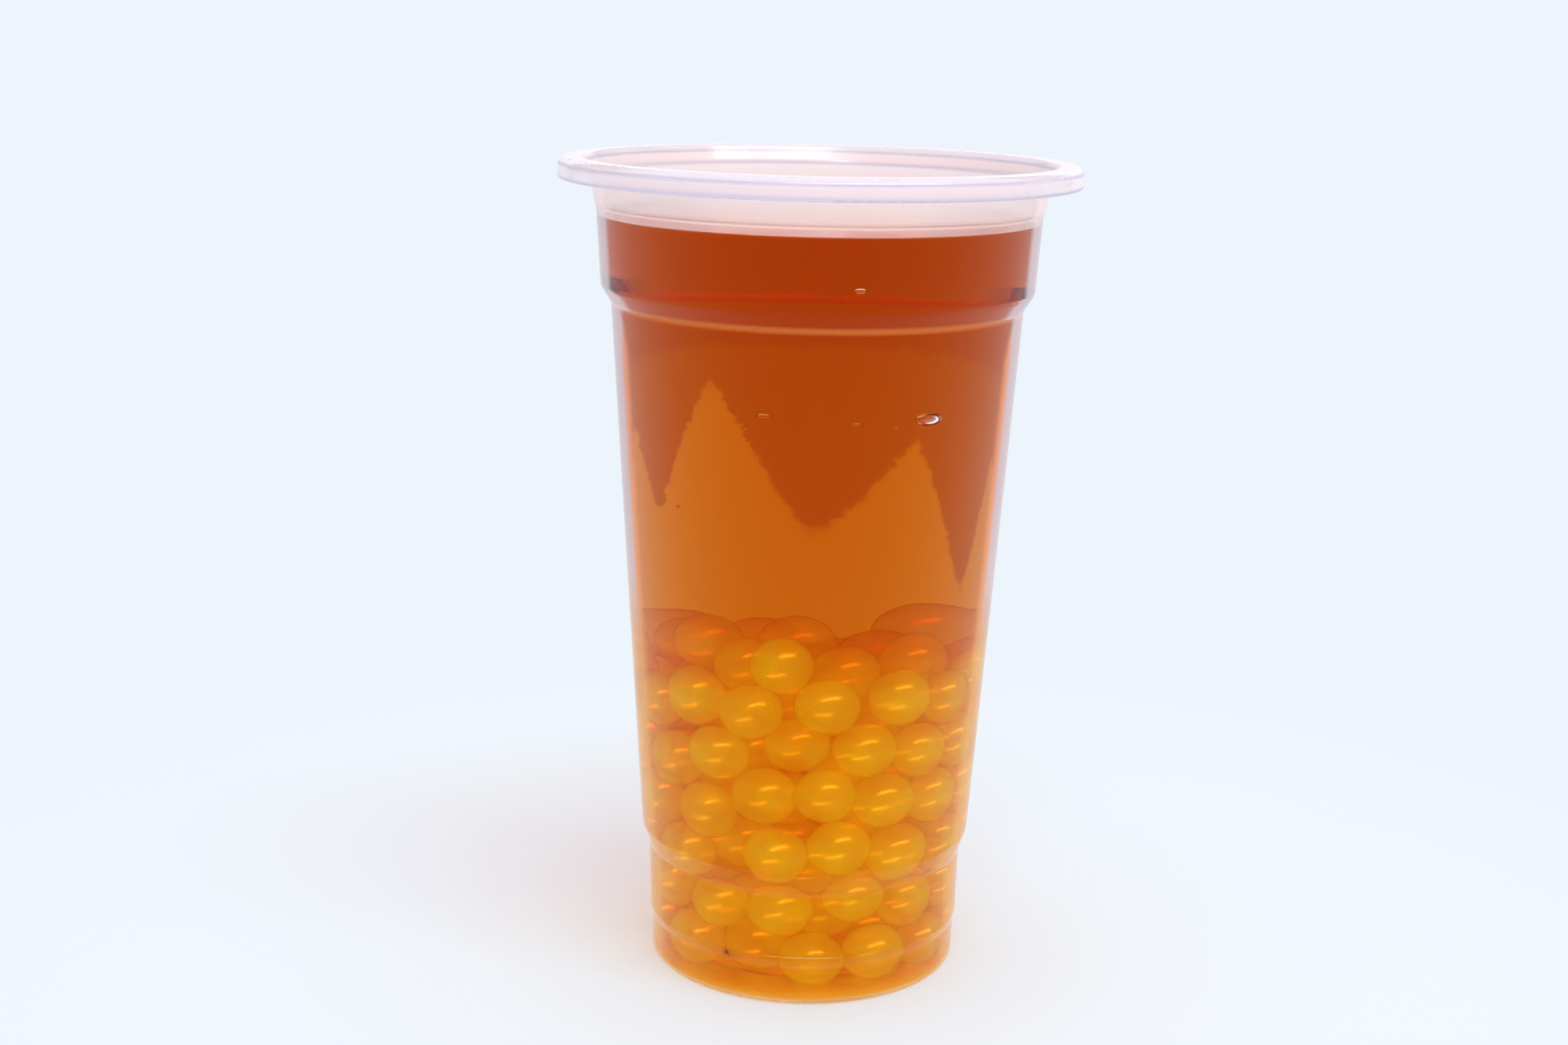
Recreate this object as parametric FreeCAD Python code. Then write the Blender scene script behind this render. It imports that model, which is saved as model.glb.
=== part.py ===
"""Iced tea with popping pearls in a clear takeaway cup with a 95 mm rim.

Two solids: the thin polypropylene cup, turned from one wall section, and the drink
that fills it from the floor to its level. Z is the cup's axis, and the origin is the
middle of the ring that it stands on. All sizes are in millimetres.
"""
import FreeCAD, Part

import math
import os

# Overall sizes of the cup
cup_height = 152.3
rim_radius = 47.5
foot_radius = 29.4

# Moulded thicknesses
side_wall = 0.6
foot_wall = 0.7
base_wall = 0.8

# Sealing flange and the skirt that hangs from its edge
flange_width = 4.2
flange_thickness = 1.3
flange_edge_round = 1.7
skirt_depth = 3.9
skirt_wall = 1.0
skirt_lip_round = 0.48
mouth_round = 0.6

# Neck below the flange: it rises steeply from a fine ledge and then flares to the mouth
neck_depth = 8.4
neck_flare = 28.0
neck_rise = 4.0
neck_rise_flare = 10.0
neck_round = 10.0
ledge_width = 0.25
ledge_height = 0.5

# Upper band and the stacking shoulder under it
band_height = 14.2
band_taper = 3.6
shoulder_height = 3.1
shoulder_width = 1.9
shoulder_round = 1.9
shoulder_foot_round = 0.6

# Lower stacking step, between the long wall and the plain lower band
stack_level = 22.2
stack_height = 4.2
stack_width = 1.4
stack_round = 1.6
stack_foot_round = 0.6

# Foot: a low ring with a fine step above it
foot_height = 8.0
foot_taper = 0.8
foot_step_height = 1.7
foot_step_width = 0.4
foot_step_round = 0.7
foot_round = 1.6
ring_width = 2.8
ring_round = 0.5

# Base panel, which slopes up inside the ring, with a raised disc at its middle
panel_rise = 2.4
panel_draft = 6.6
panel_round = 0.5
disc_radius = 12.0
disc_rise = 0.5
disc_draft = 0.8

# Drink
headspace = 10.6


def direction(start, end):
    """Unit vector from one (r, z) point to the next."""
    length = math.hypot(end[0] - start[0], end[1] - start[1])
    return (end[0] - start[0]) / length, (end[1] - start[1]) / length


def crossing(point_a, along_a, point_b, along_b):
    """Where two lines, each a point and a direction, cross."""
    across = along_a[0] * along_b[1] - along_a[1] * along_b[0]
    gap = point_b[0] - point_a[0], point_b[1] - point_a[1]
    travel = (gap[0] * along_b[1] - gap[1] * along_b[0]) / across
    return point_a[0] + travel * along_a[0], point_a[1] + travel * along_a[1]


def inner_corners(outer, walls):
    """The corners of the inside face, each stretch set in by its own wall.

    The first stretch starts on the axis and the last ends at the rim's height.
    """
    faces = []
    for start, end, wall in zip(outer, outer[1:], walls):
        along = direction(start, end)
        faces.append(((start[0] - wall * along[1], start[1] + wall * along[0]), along))
    axis = ((0.0, 0.0), (0.0, 1.0))
    rim_plane = ((0.0, cup_height), (1.0, 0.0))
    lines = [axis] + faces + [rim_plane]
    inside = []
    for index, (line, following) in enumerate(zip(lines, lines[1:])):
        place = crossing(*line, *following)
        rounding = 0.0
        if 0 < index < len(faces):
            turn = line[1][0] * following[1][1] - line[1][1] * following[1][0]
            wall = min(walls[index - 1], walls[index])
            rounding = outer[index][2] - math.copysign(wall, turn)
        inside.append((place[0], place[1], max(rounding, 0.0)))
    return inside


def rounded_edges(corners):
    """Straight runs joined by tangent arcs, through a closed ring of (r, z, round)."""
    bends = []
    for index, (radius, height, rounding) in enumerate(corners):
        here = (radius, height)
        into = direction(corners[index - 1], here)
        onward = direction(here, corners[(index + 1) % len(corners)])
        turn = math.atan2(into[0] * onward[1] - into[1] * onward[0],
                          into[0] * onward[0] + into[1] * onward[1])
        setback = rounding * math.tan(abs(turn) / 2)
        entry = (here[0] - setback * into[0], here[1] - setback * into[1])
        leave = (here[0] + setback * onward[0], here[1] + setback * onward[1])
        if rounding > 0:
            reach = rounding / math.cos(turn / 2) - rounding
            inward = direction((0.0, 0.0), (onward[0] - into[0], onward[1] - into[1]))
            middle = (here[0] + reach * inward[0], here[1] + reach * inward[1])
        else:
            middle = here
        bends.append((entry, middle, leave))
    edges = []
    for index, (entry, middle, leave) in enumerate(bends):
        last = bends[index - 1][2]
        edges.append(Part.LineSegment(on_section(last), on_section(entry)).toShape())
        if entry != leave:
            edges.append(Part.Arc(on_section(entry), on_section(middle), on_section(leave)).toShape())
    return edges


def on_section(point):
    """A section's (r, z) point in space."""
    return FreeCAD.Vector(point[0], 0, point[1])


def turned(corners):
    """The solid that a rounded section makes about the axis."""
    section = Part.Face(Part.Wire(rounded_edges(corners)))
    return section.revolve(FreeCAD.Vector(0, 0, 0), FreeCAD.Vector(0, 0, 1), 360)


def outside_corners():
    """The outer face from the middle of the base up to the rim's height.

    Each corner is (r, z, round), and each stretch between two has its wall beside it.
    """
    neck_slope = math.tan(math.radians(neck_flare))
    neck_rise_slope = math.tan(math.radians(neck_rise_flare))
    band_slope = math.tan(math.radians(band_taper))
    foot_slope = math.tan(math.radians(foot_taper))

    neck_foot = cup_height - neck_depth
    neck_top_radius = rim_radius - flange_width + side_wall
    neck_turn = neck_foot + neck_rise
    neck_turn_radius = neck_top_radius - (cup_height - neck_turn) * neck_slope
    neck_foot_radius = neck_turn_radius - neck_rise * neck_rise_slope
    band_top = neck_foot - ledge_height
    band_top_radius = neck_foot_radius - ledge_width
    shoulder_top = band_top - band_height
    shoulder_top_radius = band_top_radius - band_height * band_slope
    shoulder_foot = shoulder_top - shoulder_height
    shoulder_foot_radius = shoulder_top_radius - shoulder_width

    ring_outer = foot_radius - foot_height * foot_slope
    ring_inner = ring_outer - ring_width
    panel_radius = ring_inner - panel_draft
    step_top = foot_height + foot_step_height
    step_top_radius = foot_radius + foot_step_width
    stack_radius = step_top_radius + (stack_level - step_top) * foot_slope
    stack_top = stack_level + stack_height

    base = [
        (0.0, panel_rise + disc_rise, 0.0),
        (disc_radius, panel_rise + disc_rise, panel_round),
        (disc_radius + disc_draft, panel_rise, panel_round + base_wall),
        (panel_radius, panel_rise, panel_round + base_wall),
        (ring_inner, 0.0, ring_round),
    ]
    foot = [
        (ring_outer, 0.0, foot_round),
        (foot_radius, foot_height, foot_step_round),
        (step_top_radius, step_top, foot_step_round),
    ]
    body = [
        (stack_radius, stack_level, stack_foot_round),
        (stack_radius + stack_width, stack_top, stack_round),
        (shoulder_foot_radius, shoulder_foot, shoulder_foot_round),
        (shoulder_top_radius, shoulder_top, shoulder_round),
        (band_top_radius, band_top, ledge_height),
        (neck_foot_radius, neck_foot, ledge_height),
        (neck_turn_radius, neck_turn, neck_round),
        (neck_top_radius, cup_height, 0.0),
    ]
    walls = [base_wall] * 4 + [foot_wall] * 4 + [side_wall] * 7
    return base + foot + body, walls


def rim_corners(neck_top_radius):
    """The flange and its skirt, from the neck under the flange round to the mouth."""
    underside = cup_height - flange_thickness
    under_radius = neck_top_radius - flange_thickness * math.tan(math.radians(neck_flare))
    lip = cup_height - skirt_depth
    groove_radius = rim_radius - skirt_wall
    return [
        (under_radius, underside, mouth_round),
        (groove_radius, underside, mouth_round),
        (groove_radius, lip, skirt_lip_round),
        (rim_radius, lip, skirt_lip_round),
        (rim_radius, cup_height, flange_edge_round),
    ]


def make_cup(outside, inside):
    """The whole wall: base, foot, body, neck, flange and skirt in one piece."""
    mouth = inside[-1][:2] + (mouth_round,)
    down_inside = [mouth] + inside[-2::-1]
    return turned(outside[:-1] + rim_corners(outside[-1][0]) + down_inside)


def make_tea(inside):
    """The drink: all that the cup holds up to the level of its surface."""
    level = cup_height - headspace
    above_axis = [(0.0, cup_height, 0.0)]
    hollow = turned(inside + above_axis)
    return hollow.common(Part.makeCylinder(rim_radius, level))


def main():
    os.makedirs("parts", exist_ok=True)
    outside, walls = outside_corners()
    inside = inner_corners(outside, walls)
    make_cup(outside, inside).exportStep("parts/cup.step")
    make_tea(inside).exportStep("parts/tea.step")


main()
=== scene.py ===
"""Looks of an iced tea with popping pearls in its clear takeaway cup.

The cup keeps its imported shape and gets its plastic. The drink, the pearls that lie in
it and its air bubbles are made here, in metres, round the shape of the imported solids.
"""

import math

import bpy
import numpy as np
from mathutils import Matrix, Vector


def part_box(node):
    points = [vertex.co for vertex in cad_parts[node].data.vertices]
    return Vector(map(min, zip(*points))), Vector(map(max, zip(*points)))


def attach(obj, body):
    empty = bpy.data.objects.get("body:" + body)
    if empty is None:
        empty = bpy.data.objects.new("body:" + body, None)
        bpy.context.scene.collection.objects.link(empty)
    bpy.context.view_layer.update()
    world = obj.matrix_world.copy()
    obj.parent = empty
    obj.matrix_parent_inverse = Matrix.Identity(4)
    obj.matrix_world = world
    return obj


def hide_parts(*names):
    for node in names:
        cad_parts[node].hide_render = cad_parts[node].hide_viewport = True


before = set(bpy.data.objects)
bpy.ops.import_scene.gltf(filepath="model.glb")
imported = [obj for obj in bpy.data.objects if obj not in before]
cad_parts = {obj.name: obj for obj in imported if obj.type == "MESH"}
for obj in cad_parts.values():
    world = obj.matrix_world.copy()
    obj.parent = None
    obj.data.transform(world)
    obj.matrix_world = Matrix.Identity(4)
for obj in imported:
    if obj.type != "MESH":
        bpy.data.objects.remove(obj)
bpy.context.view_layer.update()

MM = 0.001

# Camera, in degrees, metres and millimetres of lens
CAMERA_DISTANCE = 0.4048
CAMERA_HEIGHT = 0.178
CAMERA_PITCH = 13.0
CAMERA_YAW = -0.738
CAMERA_ROLL = 1.273
LENS = 50.7
SENSOR = 36.0
NEAREST_SEEN = 0.01

# Colours as linear light: the cup
PLASTIC_TINT = (0.995, 0.975, 0.98)
SHADE_TINT = (0.98, 0.97, 0.975)
# Painted light: the milky wall above the drink is painted pink up to the rim and painted peach
# with the drink's light near its level
HAZE_PAINTED_PINK = (1.0, 0.86, 0.92)
HAZE_PAINTED_DRINK_GLOW = (0.98, 0.72, 0.66)
# Painted light: strips where the wall is seen edge-on, lilac-grey outermost and salmon within,
# stand in for light bent through the wall's sides
PAINTED_EDGE_OUTER = (0.74, 0.60, 0.64)
PAINTED_EDGE_INNER = (1.0, 0.30, 0.08)
# Painted glow: golden strips at the wall's sides beside the bed of pearls
PAINTED_BED_EDGE_GLOW = (1.0, 0.46, 0.03)
# Painted highlights: pale lines along the wall's steps, glowing amber where the wall faces the
# eye
PAINTED_CREASE_HIGHLIGHT = (0.90, 0.60, 0.56)
PAINTED_CREASE_GLOW = (0.85, 0.24, 0.01)
# Painted shade: purple-grey lines round the rim where its edges show through the plastic
PAINTED_RIM_SHADE = (0.60, 0.56, 0.74)
# Painted glow: golden light from the drink on the foot of the wall
PAINTED_FOOT_GLOW = (0.90, 0.46, 0.01)

# The pearls
PEARL_FLESH = (0.87, 0.59, 0.008)
PEARL_PALE = (0.92, 0.66, 0.012)
PEARL_LETS_THROUGH = (0.99, 0.975, 0.66)
# Painted shade: a darker see-through tint at each pearl's rim
PAINTED_PEARL_RIM_SHADE = (0.86, 0.74, 0.38)
PEARL_GLINT = (1.0, 0.45, 0.03)

# The room
BACKGROUND = (0.847, 0.905, 0.973)
FAR_ROOM = (0.52, 0.23, 0.16)
ROOM_LIGHT = (0.96, 0.985, 1.0)
LAMP_LIGHT = (1.0, 0.985, 0.97)

# How strongly each clear thing bends light
TEA_BEND = 1.333
PLASTIC_BEND = 1.49
PEARL_BEND = 1.3

# What a metre of the tea takes off red, green and blue light
TEA_TAKES = (5.5, 29.0, 90.0)

# Surface of the wall: its outside shines less where the drink is behind it
RIPPLE_SCALE = 55.0
RIPPLE_STRENGTH = 0.03
RIPPLE_DEPTH = 0.4 * MM
DRY_SHINE = 1.0
WET_SHINE = 0.1
DRY_ROUGHNESS = 0.14
MILKY_ROUGHNESS = 0.3
DRY_BLEND = 3 * MM

# Milkiness of the wall above the drink, and shares of painted light and shade: painted glow at
# the foot, painted light in strips where it is seen edge-on (less so beside the bed of pearls),
# painted highlights along its steps and painted shade lines round the rim
DRY_HAZE = 0.35
PAINTED_FOOT_GLOW_SHARE = 0.4
FOOT_BLEND = 3 * MM
BED_PAINTED_EDGE_SHARE = 0.38
MORE_PAINTED_EDGE_SHARE = 0.27
STRIP_STARTS = 0.62
OUTER_STRIP_STARTS = 0.69
STRIP_BLEND = 0.06
BED_TOP = 62 * MM
BED_BLEND = 15 * MM
BAND_FOOT = 119 * MM
BAND_BLEND = 8 * MM
BAND_STARTS_LATER = 0.07
PAINTED_CREASE_SHARE = 0.32
BED_CREASE_SHARE = 0.5
CREASE_WIDTH = 0.8 * MM
CREASE_GLOW_ENDS = 0.917
CREASE_GLOW_BLEND = 0.417
STEP_SLOPE = 0.2
RIM_LINES = (1.1 * MM, 3.5 * MM)
RIM_LINE_WIDTH = 0.5 * MM
PAINTED_RIM_SHADE_SHARE = 0.14

# Drink
WALL_REACH = 0.25 * MM
MENISCUS_RISE = 0.4 * MM
MENISCUS_SPREAD = 1.3 * MM
MENISCUS_WIDTH = 7 * MM
MENISCUS_RINGS = 24
MENISCUS_CROWDING = 1.5
SURFACE_RINGS = (0.7, 0.5, 0.3, 0.1)
DRINK_TURNS = 192
SHARP_EDGE = math.radians(28)
SAME_PLACE = 1e-6
PLACE_DIGITS = 6

# Pearls: number, shape, and the waves and tilts that make each one uneven
PEARL_COUNT = 150
PEARL_RADIUS = 5.55 * MM
PEARL_SPREAD = 0.04
PEARL_FLATTER = 0.075
FLATTER_RANGE = (0.5, 1.2)
PEARL_TILT = 0.4
WAVE_DEPTH = 0.012
WAVE_RATE = 2.5
WAVE_SHIFT = 6
PEARL_SIDES = 26
PEARL_RINGS = 15
PEARL_SEED = 14
TEA_ROUND_PEARL = 0.985

# How the pearls are let down into the cup
DROP_RADIUS = 24 * MM
DROP_HEIGHTS = (10 * MM, 118 * MM)
SETTLING_STEPS = 700
FIRST_FALL = 0.25 * MM
LAST_FALL = 0.01 * MM
PUSHES = 3
PUSH_SHARE = 0.42
WALL_GAP = 0.1 * MM

# Skin and flesh of the pearls
PEARL_SEE_THROUGH = 0.8
PEARL_ROUGHNESS = 0.5
PEARL_SCATTER = (1.0, 0.7, 0.3)
PEARL_SCATTER_REACH = 6 * MM
PEARL_TONE_SHARE = 0.7
MOTTLE_SHARE = 0.3
MOTTLE_SCALE = 260.0
PEARL_RIM_STARTS = 0.66
PEARL_RIM_BLEND = 0.2
PEARL_GLOSS = 0.12
GLINT_ROUGHNESS = 0.17
DIMPLE_SCALE = 420.0
DIMPLE_STRENGTH = 0.05
DIMPLE_DEPTH = 0.2 * MM

# Bubbles: each one's turn round the cup from its front in degrees, and its height, depth
# into the tea and width in millimetres
BUBBLES = (
    (-14.0, 111.0, 0.7, 2.6),
    (-19.0, 108.6, 0.5, 1.1),
    (11.5, 110.0, 0.6, 1.8),
    (23.0, 109.2, 0.4, 1.2),
    (33.0, 110.4, 0.8, 5.6),
    (10.5, 133.2, 0.5, 2.3),
    (-42.0, 93.0, 0.5, 0.9),
    (13.0, 39.0, 0.5, 1.0),
    (17.0, 43.5, 0.5, 0.6),
)
# Half a bubble's size into the tea, round the cup and upwards, as shares of its width
BUBBLE_SHAPE = (0.3, 0.5, 0.21)

# Table
TABLE_RADIUS = 12.0
TABLE_SIDES = 96
TABLE_ROUGHNESS = 0.6
FADE_STARTS = 60 * MM
FADE_BLEND = 160 * MM

# The room's dim far part, which only light that came through the drink sees: light that
# crosses the cup alone meets 4 clear faces. It starts in a zigzag round the table and gets
# dimmer further out.
CUP_FACES_CROSSED = 4.5
ZIGZAG_HALF_TURN = math.radians(13)
ZIGZAG_STARTS = 450 * MM
ZIGZAG_REACH = 410 * MM
ZIGZAG_CURVE = 1.4
ZIGZAG_BLEND = 18 * MM
ZIGZAG_DIMNESS = 0.62
SWAY = 0.18
SWAYS_ROUND_TABLE = 4.0
FAR_STARTS = 900 * MM
FAR_BLEND = 500 * MM
FAR_DIMNESS = 0.78

# Light, with the lamp's place and size in metres
ROOM_STRENGTH = 0.80
LAMP_POWER = 22.0
LAMP_WIDTH = 2.4
LAMP_DEPTH = 0.22
LAMP_PLACE = (0.55, -1.1, 1.9)
LAMP_AIM = (0.0, 0.0, 0.06)


class Value:
    """A shader socket whose arithmetic adds Math nodes."""

    def __init__(self, finish, socket):
        self.finish = finish
        self.socket = socket

    def __add__(self, other):
        return self.finish.math("ADD", self, other)

    __radd__ = __add__

    def __mul__(self, other):
        return self.finish.math("MULTIPLY", self, other)

    __rmul__ = __mul__

    def __sub__(self, other):
        return self.finish.math("SUBTRACT", self, other)

    def __rsub__(self, other):
        return self.finish.math("SUBTRACT", other, self)

    def __truediv__(self, other):
        return self.finish.math("DIVIDE", self, other)

    def __pow__(self, other):
        return self.finish.math("POWER", self, other)

    def magnitude(self):
        return self.finish.math("ABSOLUTE", self)

    def clamped(self):
        return self.finish.math("MINIMUM", self.finish.math("MAXIMUM", self, 0.0), 1.0)

    def part(self, name):
        """Another output of the node that this value comes from."""
        return Value(self.finish, self.socket.node.outputs[name])


class Finish:
    """The shader of a material or of the world, under construction."""

    def __init__(self, owner):
        self.owner = owner
        owner.use_nodes = True
        self.tree = owner.node_tree
        self.tree.nodes.clear()

    def node(self, kind, sockets=None, result=0, **settings):
        """Adds a node: its settings first, then the value or link of each socket."""
        made = self.tree.nodes.new(kind)
        for name, value in settings.items():
            setattr(made, name, value)
        for name, value in (sockets or {}).items():
            if isinstance(value, Value):
                self.tree.links.new(value.socket, made.inputs[name])
            else:
                made.inputs[name].default_value = value
        return Value(self, made.outputs[result])

    def math(self, operation, *values):
        return self.node("ShaderNodeMath", dict(enumerate(values)), operation=operation)

    def mix_colour(self, factor, first, second):
        """Mixes two colours: a Mix node takes them at sockets 6 and 7 and gives output 2."""
        sockets = {0: factor, 6: rgba(first), 7: rgba(second)}
        return self.node("ShaderNodeMix", sockets, result=2, data_type="RGBA")

    def mix_shader(self, share, first, second):
        return self.node("ShaderNodeMixShader", {0: share, 1: first, 2: second})

    def height(self):
        """Height above the table in metres."""
        place = self.node("ShaderNodeNewGeometry")
        return self.node("ShaderNodeSeparateXYZ", {0: place}).part("Z")

    def edge_on(self):
        """How far a surface is turned away from the eye, from 0 to 1."""
        return self.node("ShaderNodeLayerWeight", {"Blend": 0.5}, "Facing")

    def done(self, surface, volume=None):
        """Joins the shader to the output and returns the material or world."""
        kind = "World" if isinstance(self.owner, bpy.types.World) else "Material"
        output = self.tree.nodes.new("ShaderNodeOutput" + kind)
        self.tree.links.new(surface.socket, output.inputs["Surface"])
        if volume is not None:
            self.tree.links.new(volume.socket, output.inputs["Volume"])
        return self.owner


def new_finish(name):
    return Finish(bpy.data.materials.new(name))


def rgba(colour):
    if isinstance(colour, Value):
        return colour
    return (*colour, 1.0)


def lets_light_in(finish, surface, tint=(1.0, 1.0, 1.0)):
    """Lamps and soft bounces pass straight through, and all else meets the surface."""
    clear = finish.node("ShaderNodeBsdfTransparent", {"Color": rgba(tint)})
    path = finish.node("ShaderNodeLightPath")
    soft = finish.mix_shader(path.part("Is Diffuse Ray"), surface, clear)
    return finish.mix_shader(path.part("Is Shadow Ray"), soft, clear)


def came_through_drink(path):
    """1 for light that has crossed more clear faces than the cup alone has, else 0."""
    return (path.part("Transmission Depth") - CUP_FACES_CROSSED).clamped()


# ---------------------------------------------------------------- finishes


def glassy_wall(skin, above):
    """Clear plastic, whose outside has a faint ripple and whose inside has no shine."""
    ripple = skin.node("ShaderNodeTexNoise", {"Scale": RIPPLE_SCALE, "Detail": 2.0})
    bump = skin.node(
        "ShaderNodeBump",
        {"Strength": RIPPLE_STRENGTH, "Distance": RIPPLE_DEPTH, "Height": ripple},
    )
    dry_side, wet_side, within = [
        skin.node("ShaderNodeBsdfPrincipled", {
            "Base Color": rgba(PLASTIC_TINT),
            "Roughness": DRY_ROUGHNESS * above,
            "IOR": PLASTIC_BEND,
            "Specular Tint": (shine, shine, shine, 1.0),
            "Transmission Weight": 1.0,
            "Normal": bump,
        })
        for shine in (DRY_SHINE, WET_SHINE, 0.0)
    ]
    from_within = skin.node("ShaderNodeNewGeometry").part("Backfacing")
    outside = skin.mix_shader(above, wet_side, dry_side)
    return skin.mix_shader(from_within, outside, within)


def dry_milk_and_painted_light(skin, height):
    """Colour of the milky wall above the drink, painted peach with the drink's light near its
    level and painted pink up to the rim, and the painted shade lines round its rim.
    """
    drink_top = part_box("tea")[1][2]
    rim_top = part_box("cup")[1][2]
    to_rim = ((height - drink_top) / (rim_top - drink_top)).clamped()
    # Painted shade lines round the rim
    lines = 0.0
    for below in RIM_LINES:
        line = (height - (rim_top - below)).magnitude()
        lines = lines + (1.0 - line / RIM_LINE_WIDTH).clamped()
    # Painted peach glow of the drink near its level, fading up to painted pink at the rim
    colour = skin.mix_colour(to_rim, HAZE_PAINTED_DRINK_GLOW, HAZE_PAINTED_PINK)
    return skin.mix_colour(lines, colour, PAINTED_RIM_SHADE), lines


def wet_painted_light(skin, height):
    """Colour and amount of the milky wall's painted light where the drink is behind it: painted
    edge strips, painted highlights along its steps and a painted glow at its foot.
    """
    edge_on = skin.edge_on()
    at_band = ((height - BAND_FOOT) / BAND_BLEND).clamped()
    over_bed = ((height - BED_TOP) / BED_BLEND).clamped()
    at_foot = ((FOOT_BLEND - height) / FOOT_BLEND).clamped()
    # Painted light in strips where the wall is seen edge-on
    strip = ((edge_on - STRIP_STARTS - BAND_STARTS_LATER * at_band) / STRIP_BLEND).clamped()
    outer_strip = ((edge_on - OUTER_STRIP_STARTS) / STRIP_BLEND + at_band).clamped()
    # Painted highlights along the wall's steps
    painted_creases = 0.0
    for foot in step_feet():
        painted_creases = painted_creases + (1.0 - (height - foot).magnitude() / CREASE_WIDTH).clamped()
    glowing = ((CREASE_GLOW_ENDS - edge_on) / CREASE_GLOW_BLEND).clamped()
    painted_crease_colour = skin.mix_colour(glowing, PAINTED_CREASE_HIGHLIGHT, PAINTED_CREASE_GLOW)

    # Painted edge light, salmon within and lilac-grey outermost
    colour = skin.mix_colour(outer_strip, PAINTED_EDGE_INNER, PAINTED_EDGE_OUTER)
    # Painted golden glow at the sides beside the bed of pearls
    colour = skin.mix_colour(over_bed, PAINTED_BED_EDGE_GLOW, colour)
    colour = skin.mix_colour(painted_creases, colour, painted_crease_colour)
    # Painted glow at the foot
    colour = skin.mix_colour(at_foot, colour, PAINTED_FOOT_GLOW)
    crease_share = BED_CREASE_SHARE + (1.0 - BED_CREASE_SHARE) * over_bed
    haze_and_painted_light = PAINTED_FOOT_GLOW_SHARE * at_foot + (BED_PAINTED_EDGE_SHARE + MORE_PAINTED_EDGE_SHARE * over_bed) * strip
    return colour, haze_and_painted_light + PAINTED_CREASE_SHARE * crease_share * painted_creases


def clear_plastic():
    """Clear polypropylene, milky above the drink and where much of it is looked through, with
    painted light and shade in its milky parts.
    """
    skin = new_finish("clear_polypropylene")
    height = skin.height()
    above = ((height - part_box("tea")[1][2]) / DRY_BLEND).clamped()
    dry, lines = dry_milk_and_painted_light(skin, height)
    wetted, wet_painted_light_share = wet_painted_light(skin, height)
    # This milky closure also carries the painted light and shade in its colour
    milky = skin.node("ShaderNodeBsdfPrincipled", {
        "Base Color": skin.mix_colour(above, wetted, dry),
        "Roughness": MILKY_ROUGHNESS,
        "IOR": PLASTIC_BEND,
    })
    haze_and_painted_light = (DRY_HAZE * above + wet_painted_light_share + PAINTED_RIM_SHADE_SHARE * lines).clamped()
    wall = skin.mix_shader(haze_and_painted_light, glassy_wall(skin, above), milky)
    return skin.done(lets_light_in(skin, wall, SHADE_TINT))


def steeped_tea():
    """Clear amber tea, which colours light by how far it goes."""
    tea = new_finish("steeped_tea")
    surface = tea.node("ShaderNodeBsdfPrincipled", {
        "Base Color": (1.0, 1.0, 1.0, 1.0),
        "Roughness": 0.0,
        "IOR": TEA_BEND,
        "Specular Tint": (0.0, 0.0, 0.0, 1.0),
        "Transmission Weight": 1.0,
    })
    round_pearl = tea.node("ShaderNodeAttribute", result="Fac", attribute_name="round_pearl")
    open_way = tea.node("ShaderNodeBsdfTransparent", {"Color": (1.0, 1.0, 1.0, 1.0)})
    surface = tea.mix_shader(round_pearl, surface, open_way)
    # The node takes off its density times what its colour lacks
    density = 100.0
    colour = [1 - take / density for take in TEA_TAKES]
    volume = tea.node(
        "ShaderNodeVolumeAbsorption", {"Color": rgba(colour), "Density": density}
    )
    return tea.done(lets_light_in(tea, surface), volume)


def pearl_skin():
    """Translucent fruit-juice pearls, each a little different in tone, with painted shade at
    their rims.
    """
    skin = new_finish("pearl_skin")
    tone = skin.node("ShaderNodeAttribute", result="Fac", attribute_name="tone")
    mottle = skin.node("ShaderNodeTexNoise", {"Scale": MOTTLE_SCALE, "Detail": 3.0})
    tone = (tone * PEARL_TONE_SHARE + mottle * MOTTLE_SHARE).clamped()
    flesh = skin.node("ShaderNodeBsdfPrincipled", {
        "Base Color": skin.mix_colour(tone, PEARL_FLESH, PEARL_PALE),
        "Roughness": PEARL_ROUGHNESS,
        "IOR": PEARL_BEND,
        "Specular IOR Level": 0.0,
        "Subsurface Weight": 1.0,
        "Subsurface Radius": PEARL_SCATTER,
        "Subsurface Scale": PEARL_SCATTER_REACH,
    }, subsurface_method="RANDOM_WALK")
    clear, painted_rim_shade = [
        skin.node("ShaderNodeBsdfTransparent", {"Color": rgba(colour)})
        for colour in (PEARL_LETS_THROUGH, PAINTED_PEARL_RIM_SHADE)
    ]
    # Painted shade at each pearl's rim
    at_rim = ((skin.edge_on() - PEARL_RIM_STARTS) / PEARL_RIM_BLEND).clamped()
    clear = skin.mix_shader(at_rim, clear, painted_rim_shade)
    body = skin.mix_shader(PEARL_SEE_THROUGH, flesh, clear)
    dimples = skin.node("ShaderNodeTexNoise", {"Scale": DIMPLE_SCALE, "Detail": 2.0})
    bump = skin.node(
        "ShaderNodeBump",
        {"Strength": DIMPLE_STRENGTH, "Distance": DIMPLE_DEPTH, "Height": dimples},
    )
    glint = skin.node(
        "ShaderNodeBsdfAnisotropic",
        {"Color": rgba(PEARL_GLINT), "Roughness": GLINT_ROUGHNESS, "Normal": bump},
    )
    return skin.done(skin.mix_shader(PEARL_GLOSS, body, glint))


def trapped_air():
    """An air bubble inside the tea: light bends the other way as it goes in."""
    air = new_finish("trapped_air")
    return air.done(air.node("ShaderNodeBsdfPrincipled", {
        "Base Color": (1.0, 1.0, 1.0, 1.0),
        "Roughness": 0.0,
        "IOR": 1.0 / TEA_BEND,
        "Transmission Weight": 1.0,
    }))


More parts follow.
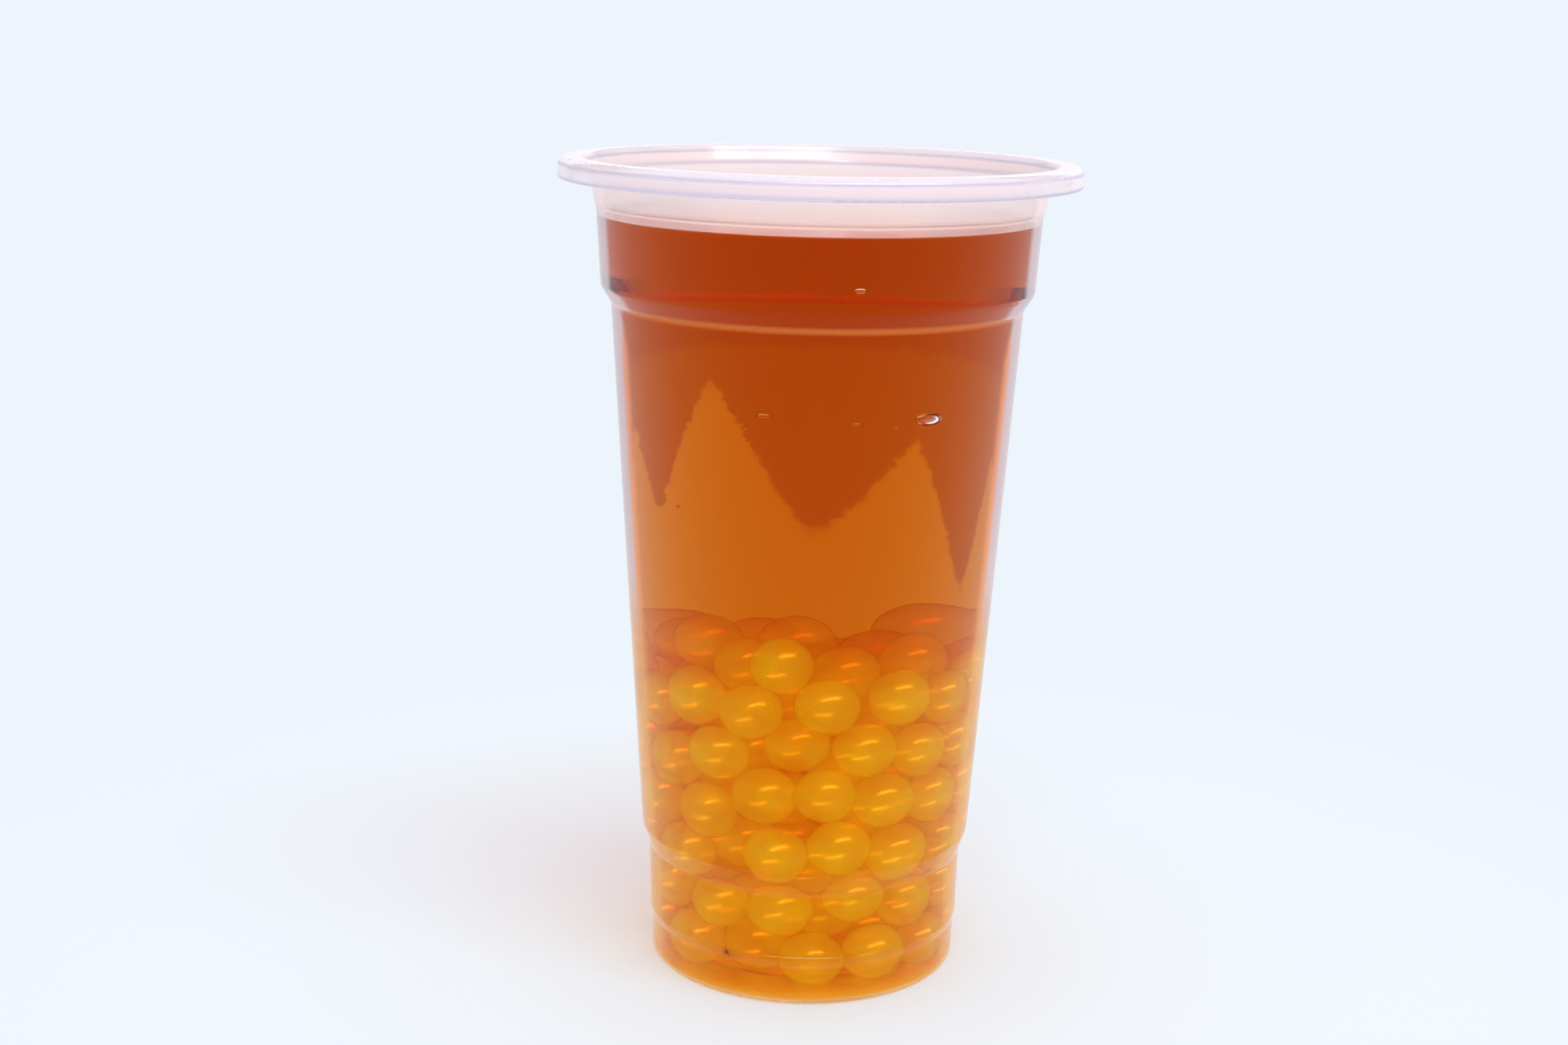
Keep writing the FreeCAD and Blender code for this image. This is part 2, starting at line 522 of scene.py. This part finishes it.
def far_part(top, place, away):
    """How dim the room gets over the table: a zigzag edge first, then a slow fade."""
    split = top.node("ShaderNodeSeparateXYZ", {0: place})
    turn = top.math("ARCTAN2", split.part("X"), split.part("Y"))
    fold = top.math("PINGPONG", turn, ZIGZAG_HALF_TURN) / ZIGZAG_HALF_TURN
    sway = 1.0 + SWAY * top.math("SINE", SWAYS_ROUND_TABLE * turn)
    edge = (ZIGZAG_STARTS + ZIGZAG_REACH * fold ** ZIGZAG_CURVE) * sway
    zigzag = ((away - edge) / ZIGZAG_BLEND).clamped()
    far = ((away - FAR_STARTS) / FAR_BLEND).clamped()
    return top.math("MAXIMUM", ZIGZAG_DIMNESS * zigzag, FAR_DIMNESS * far)


def table_top():
    """A plain pale table that keeps the cup's shadow and fades into the backdrop."""
    top = new_finish("table_top")
    matt = top.node("ShaderNodeBsdfPrincipled", {
        "Base Color": rgba(BACKGROUND),
        "Roughness": TABLE_ROUGHNESS,
        "Specular IOR Level": 0.0,
    })
    backdrop = top.node("ShaderNodeEmission", {"Color": rgba(BACKGROUND)})
    dim = top.node("ShaderNodeEmission", {"Color": rgba(FAR_ROOM)})
    place = top.node("ShaderNodeNewGeometry")
    away = top.node("ShaderNodeVectorMath", {0: place}, "Value", operation="LENGTH")
    fade = ((away - FADE_STARTS) / FADE_BLEND).clamped()
    path = top.node("ShaderNodeLightPath")
    beyond = far_part(top, place, away) * came_through_drink(path)
    seen = top.mix_shader(beyond, backdrop, dim)
    plain = (path.part("Is Camera Ray") * fade + path.part("Is Transmission Ray")).clamped()
    face = top.mix_shader(path.part("Is Glossy Ray"), matt, backdrop)
    return top.done(top.mix_shader(plain, face, seen))


# ---------------------------------------------------------------- shapes


def meridian(node):
    """A turned solid's outline from the axis at its foot round to the axis at its top.

    Each point is (radius, height), read along the seam at +X.
    """
    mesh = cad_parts[node].data
    places = {}
    for vertex in mesh.vertices:
        if abs(vertex.co.y) < SAME_PLACE and vertex.co.x > -SAME_PLACE:
            radius = round(max(vertex.co.x, 0.0), PLACE_DIGITS)
            places[vertex.index] = (radius, round(vertex.co.z, PLACE_DIGITS))
    beside = {}
    for edge in mesh.edges:
        first, second = (places.get(index) for index in edge.vertices)
        if first and second and first != second:
            beside.setdefault(first, set()).add(second)
            beside.setdefault(second, set()).add(first)
    ends = [place for place in beside if len(beside[place]) == 1]
    foot = min(ends, key=lambda place: place[1])
    line = [foot]
    here, last = foot, None
    while True:
        onward = [place for place in beside[here] if place != last]
        if not onward:
            break
        last, here = here, onward[0]
        line.append(here)
    return [(0.0, foot[1])] + line + [(0.0, here[1])]


def cavity_shape():
    """The floor and the wall inside the cup, as (radius, height) points up to the level."""
    inside = meridian("tea")
    lowest = min(range(len(inside)), key=lambda index: inside[index][1])
    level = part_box("tea")[1][2]
    wall = [place for place in inside[lowest:] if place[1] < level - SAME_PLACE]
    wall.append(max(inside, key=lambda place: (place[1], place[0])))
    return inside[:lowest], wall


def step_feet():
    """Heights at which the wall starts to step outwards."""
    wall = cavity_shape()[1]
    feet = []
    stepping = False
    for low, high in zip(wall, wall[1:]):
        steep = high[0] - low[0] > STEP_SLOPE * (high[1] - low[1])
        if steep and not stepping:
            feet.append(low[1])
        stepping = steep
    return feet


def turned(line, turns):
    """Points and faces of a closed shape whose outline starts and ends on the axis."""
    verts = [(0.0, 0.0, line[0][1])]
    for radius, height in line[1:-1]:
        for step in range(turns):
            angle = 2 * math.pi * step / turns
            verts.append((radius * math.cos(angle), radius * math.sin(angle), height))
    verts.append((0.0, 0.0, line[-1][1]))
    rings = len(line) - 2
    top = 1 + (rings - 1) * turns
    faces = []
    for step in range(turns):
        after = (step + 1) % turns
        faces.append((0, 1 + after, 1 + step))
        for ring in range(rings - 1):
            low, high = 1 + ring * turns, 1 + (ring + 1) * turns
            faces.append((low + step, low + after, high + after, high + step))
        faces.append((top + step, top + after, len(verts) - 1))
    return verts, faces


def unit_ball():
    """Points and faces of a ball of radius 1."""
    tilts = [math.pi * ring / PEARL_RINGS for ring in range(PEARL_RINGS + 1)]
    verts, faces = turned([(math.sin(tilt), -math.cos(tilt)) for tilt in tilts], PEARL_SIDES)
    return np.array(verts), faces


def add_ball(verts, faces, points, ball_faces):
    """Joins one ball's points and faces to those of a mesh under construction."""
    start = len(verts)
    verts.extend(points.tolist())
    faces.extend([tuple(start + corner for corner in face) for face in ball_faces])


def new_piece(name, verts, faces):
    mesh = bpy.data.meshes.new(name)
    mesh.from_pydata(verts, [], faces)
    mesh.update()
    mesh.shade_smooth()
    mesh.set_sharp_from_angle(angle=SHARP_EDGE)
    piece = bpy.data.objects.new(name, mesh)
    bpy.context.scene.collection.objects.link(piece)
    return piece


def mark_points(piece, name, values):
    """Gives each point of a piece a number that its finish reads."""
    attribute = piece.data.attributes.new(name, "FLOAT", "POINT")
    attribute.data.foreach_set("value", values)


def pushed_out(line, distance):
    """The outline moved outwards, square to itself."""
    moved = [(0.0, line[0][1] - distance)]
    for before, here, after in zip(line, line[1:], line[2:]):
        along = (after[0] - before[0], after[1] - before[1])
        length = math.hypot(*along)
        moved.append((here[0] + distance * along[1] / length,
                      here[1] - distance * along[0] / length))
    return moved


def make_drink(bed):
    """The tea round its pearls: it reaches a little into the wall and curves up at its edge."""
    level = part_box("tea")[1][2]
    inside = meridian("tea")
    edge = max(range(len(inside)), key=lambda index: (inside[index][1], inside[index][0]))
    wetted = pushed_out(inside[:edge + 1], WALL_REACH)
    rim = inside[edge][0] + WALL_REACH
    surface = []
    for step in range(MENISCUS_RINGS):
        inward = MENISCUS_WIDTH * (step / (MENISCUS_RINGS - 1)) ** MENISCUS_CROWDING
        lift = MENISCUS_RISE * math.exp(-inward / MENISCUS_SPREAD)
        surface.append((rim - inward, level + lift))
    surface += [(rim * share, level) for share in SURFACE_RINGS]
    verts, faces = turned(wetted + surface + [(0.0, level)], DRINK_TURNS)
    outer = len(verts)
    inward_faces = [face[::-1] for face in unit_ball()[1]]
    for centre, points, _ in bed:
        add_ball(verts, faces, centre + TEA_ROUND_PEARL * points, inward_faces)
    drink = new_piece("drink", verts, faces)
    mark_points(drink, "round_pearl", [0.0] * outer + [1.0] * (len(verts) - outer))
    drink.data.materials.append(steeped_tea())
    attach(drink, "root")
    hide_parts("tea")


def settled_pearls():
    """Where the pearls come to rest: each is let down slowly and pushed off its neighbours."""
    floor, wall = cavity_shape()
    floor_radii, floor_heights = zip(*floor)
    wall_radii, wall_heights = zip(*wall)
    draw = np.random.default_rng(PEARL_SEED)
    radii = PEARL_RADIUS * (1 + PEARL_SPREAD * draw.uniform(-1, 1, PEARL_COUNT))
    angle = draw.uniform(0, 2 * math.pi, PEARL_COUNT)
    away = DROP_RADIUS * np.sqrt(draw.uniform(0, 1, PEARL_COUNT))
    centres = np.stack([
        away * np.cos(angle),
        away * np.sin(angle),
        draw.uniform(*DROP_HEIGHTS, PEARL_COUNT),
    ], axis=1)
    reach = radii[:, None] + radii[None, :]
    for step in range(SETTLING_STEPS):
        centres[:, 2] -= FIRST_FALL * (1 - step / SETTLING_STEPS) + LAST_FALL
        for _ in range(PUSHES):
            gap = centres[:, None] - centres[None]
            distance = np.sqrt((gap ** 2).sum(axis=2)) + np.eye(PEARL_COUNT)
            press = np.clip(reach - distance, 0, None)
            np.fill_diagonal(press, 0)
            centres += PUSH_SHARE * (gap * (press / distance)[..., None]).sum(axis=1)
            out = np.hypot(centres[:, 0], centres[:, 1])
            room = np.interp(centres[:, 2], wall_heights, wall_radii) - radii - WALL_GAP
            pull = np.minimum(1.0, room / np.maximum(out, 1e-9))
            centres[:, :2] *= pull[:, None]
            ground = np.interp(out, floor_radii, floor_heights) + radii
            centres[:, 2] = np.maximum(centres[:, 2], ground)
    return centres, radii, draw


def pearl_bed():
    """Each pearl as its centre, its points about the centre and its tone."""
    centres, radii, draw = settled_pearls()
    ball = unit_ball()[0]
    bed = []
    for centre, radius in zip(centres, radii):
        flat = PEARL_FLATTER * draw.uniform(*FLATTER_RANGE)
        tilt = draw.uniform(-PEARL_TILT, PEARL_TILT)
        spin = Matrix.Rotation(tilt, 3, Vector(draw.normal(size=3)).normalized())
        phase = ball @ draw.normal(size=3) * WAVE_RATE + draw.uniform(0, WAVE_SHIFT)
        waves = 1 + WAVE_DEPTH * np.sin(phase)
        size = radius * np.array([1 + flat / 2, 1 + flat / 2, 1 - flat])
        points = ball * waves[:, None] * size
        bed.append((centre, points @ np.array(spin).T, draw.uniform(0, 1)))
    return bed


def make_pearls(bed):
    """The pearls at the bottom of the cup, as one mesh of separate balls."""
    ball_faces = unit_ball()[1]
    verts, faces, tones = [], [], []
    for centre, points, tone in bed:
        add_ball(verts, faces, centre + points, ball_faces)
        tones.extend([tone] * len(points))
    pearls = new_piece("pearls", verts, faces)
    mark_points(pearls, "tone", tones)
    pearls.data.materials.append(pearl_skin())
    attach(pearls, "root")
    # Light gets to the whole bed, as it would by scattering from pearl to pearl
    pearls.visible_shadow = False
    pearls.visible_diffuse = False


def make_bubbles():
    """Small air bubbles that cling inside the wall, flattened against it."""
    wall_radii, wall_heights = zip(*cavity_shape()[1])
    ball, ball_faces = unit_ball()
    verts, faces = [], []
    for turn, height, depth, width in BUBBLES:
        angle = math.radians(turn - 90)
        away = float(np.interp(height * MM, wall_heights, wall_radii)) - depth * MM
        size = np.array(BUBBLE_SHAPE) * width * MM
        spin = np.array(Matrix.Rotation(angle, 3, "Z"))
        centre = np.array([away * math.cos(angle), away * math.sin(angle), height * MM])
        add_ball(verts, faces, centre + (ball * size) @ spin.T, ball_faces)
    bubbles = new_piece("bubbles", verts, faces)
    bubbles.data.materials.append(trapped_air())
    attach(bubbles, "root")


def dress_cup():
    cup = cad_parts["cup"]
    plastic = clear_plastic()
    for slot in cup.material_slots:
        slot.material = plastic


# ---------------------------------------------------------------- stage


def make_table():
    bpy.ops.mesh.primitive_circle_add(
        vertices=TABLE_SIDES, radius=TABLE_RADIUS, fill_type="NGON"
    )
    table = bpy.context.object
    table.name = "table"
    table.data.materials.append(table_top())


def let_light_cross():
    """The bed of pearls has many faces one behind another, and light has to cross them all."""
    paths = bpy.context.scene.cycles
    paths.transparent_max_bounces = 64
    paths.max_bounces = 24
    paths.transmission_bounces = 24
    paths.glossy_bounces = 8


def light_room():
    """Even pale light from all round. The eye, glass and shiny things see the background."""
    room = Finish(bpy.data.worlds.new("studio"))
    bpy.context.scene.world = room.owner
    backdrop, dim = [
        room.node("ShaderNodeBackground", {"Color": rgba(colour)})
        for colour in (BACKGROUND, FAR_ROOM)
    ]
    soft = room.node(
        "ShaderNodeBackground", {"Color": rgba(ROOM_LIGHT), "Strength": ROOM_STRENGTH}
    )
    path = room.node("ShaderNodeLightPath")
    plain = (path.part("Is Camera Ray") + path.part("Is Transmission Ray")).clamped()
    seen = room.mix_shader(FAR_DIMNESS * came_through_drink(path), backdrop, dim)
    unseen = room.mix_shader(path.part("Is Glossy Ray"), soft, backdrop)
    room.done(room.mix_shader(plain, unseen, seen))


def hang_lamp():
    """A wide, thin soft lamp high in front, which isn't seen through clear things."""
    lamp = bpy.data.lights.new("window", "AREA")
    lamp.shape = "RECTANGLE"
    lamp.size = LAMP_WIDTH
    lamp.size_y = LAMP_DEPTH
    lamp.energy = LAMP_POWER
    lamp.color = LAMP_LIGHT
    window = bpy.data.objects.new("window", lamp)
    bpy.context.scene.collection.objects.link(window)
    window.visible_transmission = False
    place = Vector(LAMP_PLACE)
    facing = (Vector(LAMP_AIM) - place).to_track_quat("-Z", "Y")
    window.matrix_world = Matrix.Translation(place) @ facing.to_matrix().to_4x4()


def set_camera():
    data = bpy.data.cameras.new("camera")
    data.lens = LENS
    data.sensor_width = SENSOR
    data.clip_start = NEAREST_SEEN
    camera = bpy.data.objects.new("camera", data)
    bpy.context.scene.collection.objects.link(camera)
    camera.matrix_world = (
        Matrix.Translation((0.0, -CAMERA_DISTANCE, CAMERA_HEIGHT))
        @ Matrix.Rotation(-math.radians(CAMERA_YAW), 4, "Z")
        @ Matrix.Rotation(math.radians(90 - CAMERA_PITCH), 4, "X")
        @ Matrix.Rotation(math.radians(CAMERA_ROLL), 4, "Z")
    )
    bpy.context.scene.camera = camera


set_camera()
bpy.context.scene.view_settings.view_transform = "Standard"
light_room()
hang_lamp()
let_light_cross()
make_table()
dress_cup()
bed = pearl_bed()
make_drink(bed)
make_pearls(bed)
make_bubbles()
